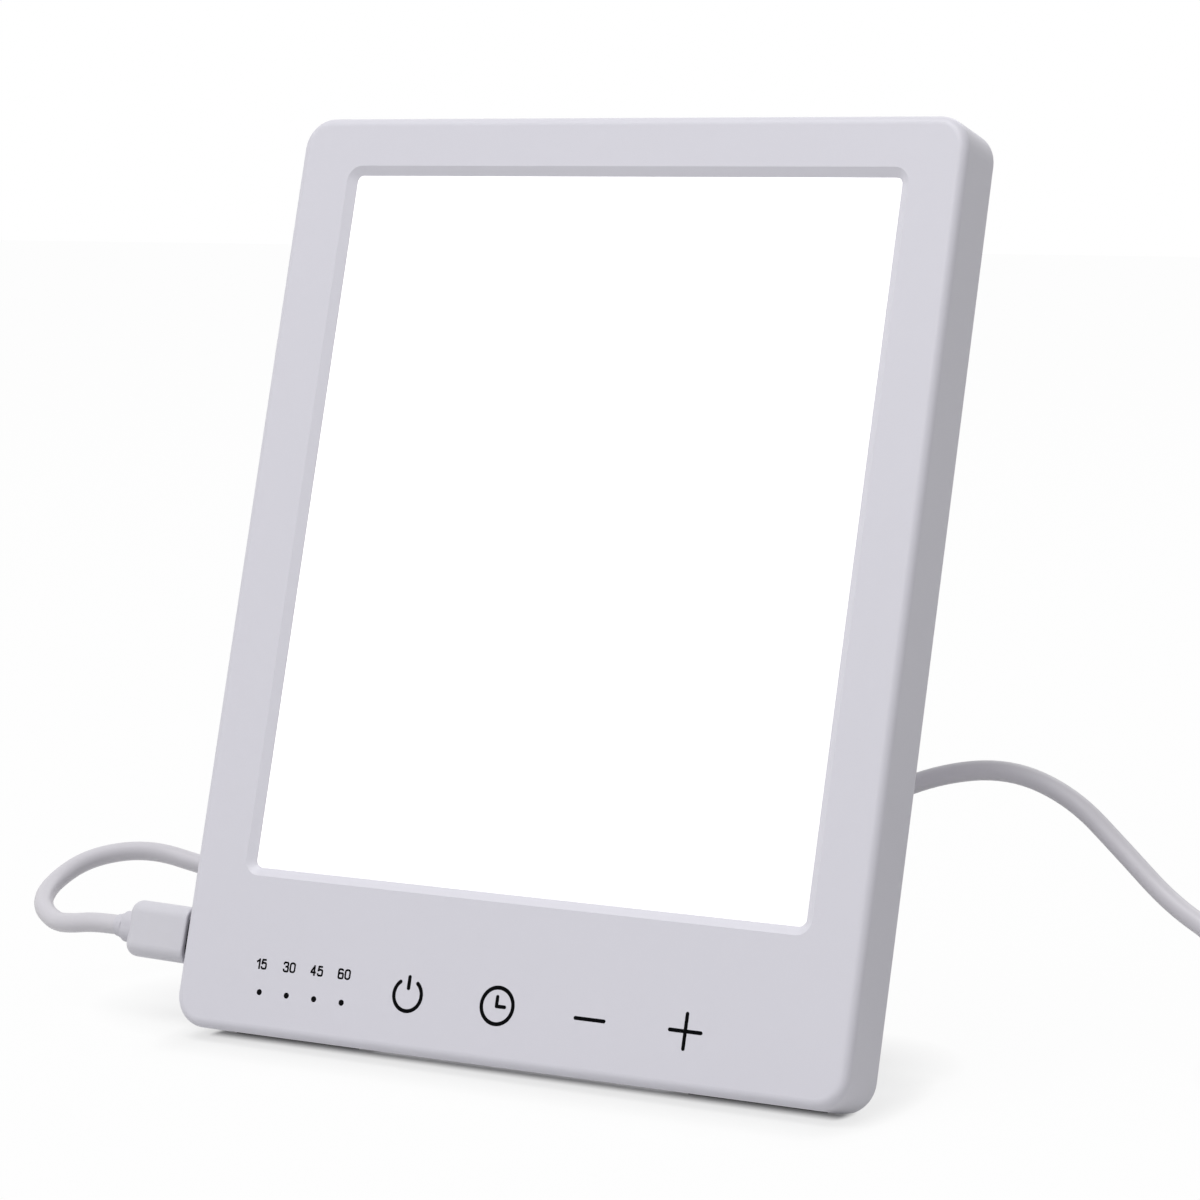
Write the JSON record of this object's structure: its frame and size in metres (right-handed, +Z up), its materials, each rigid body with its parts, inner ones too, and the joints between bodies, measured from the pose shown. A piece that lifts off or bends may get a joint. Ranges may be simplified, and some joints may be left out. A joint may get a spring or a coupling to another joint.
{
  "type": "light therapy lamp",
  "caption": "Tablet-shaped light therapy lamp: lit front panel over touch keys, fold-out rear leg, and a USB power cord whose spare length lies in a tied coil.",
  "frame": {"origin": "on the floor, under the middle of the lamp's box without its cord", "axes": "+X to the right as its user sees it, +Y away from its user, +Z up"},
  "size_m": [0.366, 0.1295, 0.1953],
  "materials": {
    "casing_plastic": "fine satin moulded, pale cool grey",
    "rear_plastic": "fine matt moulded, pale cool grey",
    "leg_plastic": "fine matt moulded, pale cool grey",
    "diffuser_acrylic": "satin, opal, lit from behind",
    "guide_acrylic": "clear, with a printed dot pattern",
    "reflector_film": "white film",
    "spreader_aluminium": "mill finish",
    "strip_laminate": "white solder resist",
    "led_package": "white body, yellow lens",
    "foam_pad": "open-cell foam",
    "board_laminate": "green solder resist",
    "small_screw_steel": "zinc plated",
    "touch_foam": "conductive foam",
    "light_pipe_smoke": "dark smoked acrylic",
    "chip_epoxy": "moulded epoxy",
    "ferrite": "sintered ferrite",
    "socket_plastic": "ivory nylon",
    "lead_insulation": "white sleeve",
    "case_screw_steel": "nickel plated",
    "foot_rubber": "matt",
    "pad_rubber": "matt",
    "pin_steel": "ground",
    "washer_polymer": "slippery polymer",
    "connector_steel": "nickel plated",
    "connector_polymer": "glass filled, black",
    "plug_plastic": "satin moulded",
    "collar_plastic": "satin black",
    "relief_elastomer": "soft moulded",
    "cord_jacket": "smooth satin jacket",
    "tie_strap": "dark hook-and-loop strap"
  },
  "bodies": {
    "housing": {"front_frame": "casing_plastic", "rear_cover": "rear_plastic", "diffuser_panel": "diffuser_acrylic", "light_guide_plate": "guide_acrylic", "reflector_sheet": "reflector_film", "heat_spreader": "spreader_aluminium", "led_strip_left": "strip_laminate", "led_strip_right": "strip_laminate", "led_chips": "led_package", "foam_strips": "foam_pad", "control_board": "board_laminate", "board_screws": "small_screw_steel", "touch_pads": "touch_foam", "indicator_leds": "led_package", "light_pipes": "light_pipe_smoke", "board_chips": "chip_epoxy", "power_inductor": "ferrite", "lead_sockets": "socket_plastic", "led_leads": "lead_insulation", "case_screws": "case_screw_steel", "rubber_feet": "foot_rubber", "hinge_pins": "pin_steel", "friction_washers": "washer_polymer", "usb_socket_shell": "connector_steel", "usb_socket_tongue": "connector_polymer", "usb_c_plug_body": "plug_plastic", "usb_c_plug_collar": "collar_plastic", "usb_c_plug_shell": "connector_steel", "usb_c_strain_relief": "relief_elastomer", "cable": "cord_jacket", "cable_coil": "cord_jacket", "cable_tail": "cord_jacket", "cable_tie": "tie_strap", "usb_a_plug_body": "plug_plastic", "usb_a_strain_relief": "relief_elastomer", "usb_a_shell": "connector_steel", "usb_a_insert": "connector_polymer"},
    "kickstand": {"kickstand_leg": "leg_plastic", "leg_foot_pad": "pad_rubber"}
  },
  "joints": [
    {"name": "kickstand_hinge", "type": "hinge", "parent": "housing", "child": "kickstand", "pos_m": [0, 0.00763, 0.14438], "axis": [1, 0, 0], "range_deg": [-28, 0]}
  ]
}
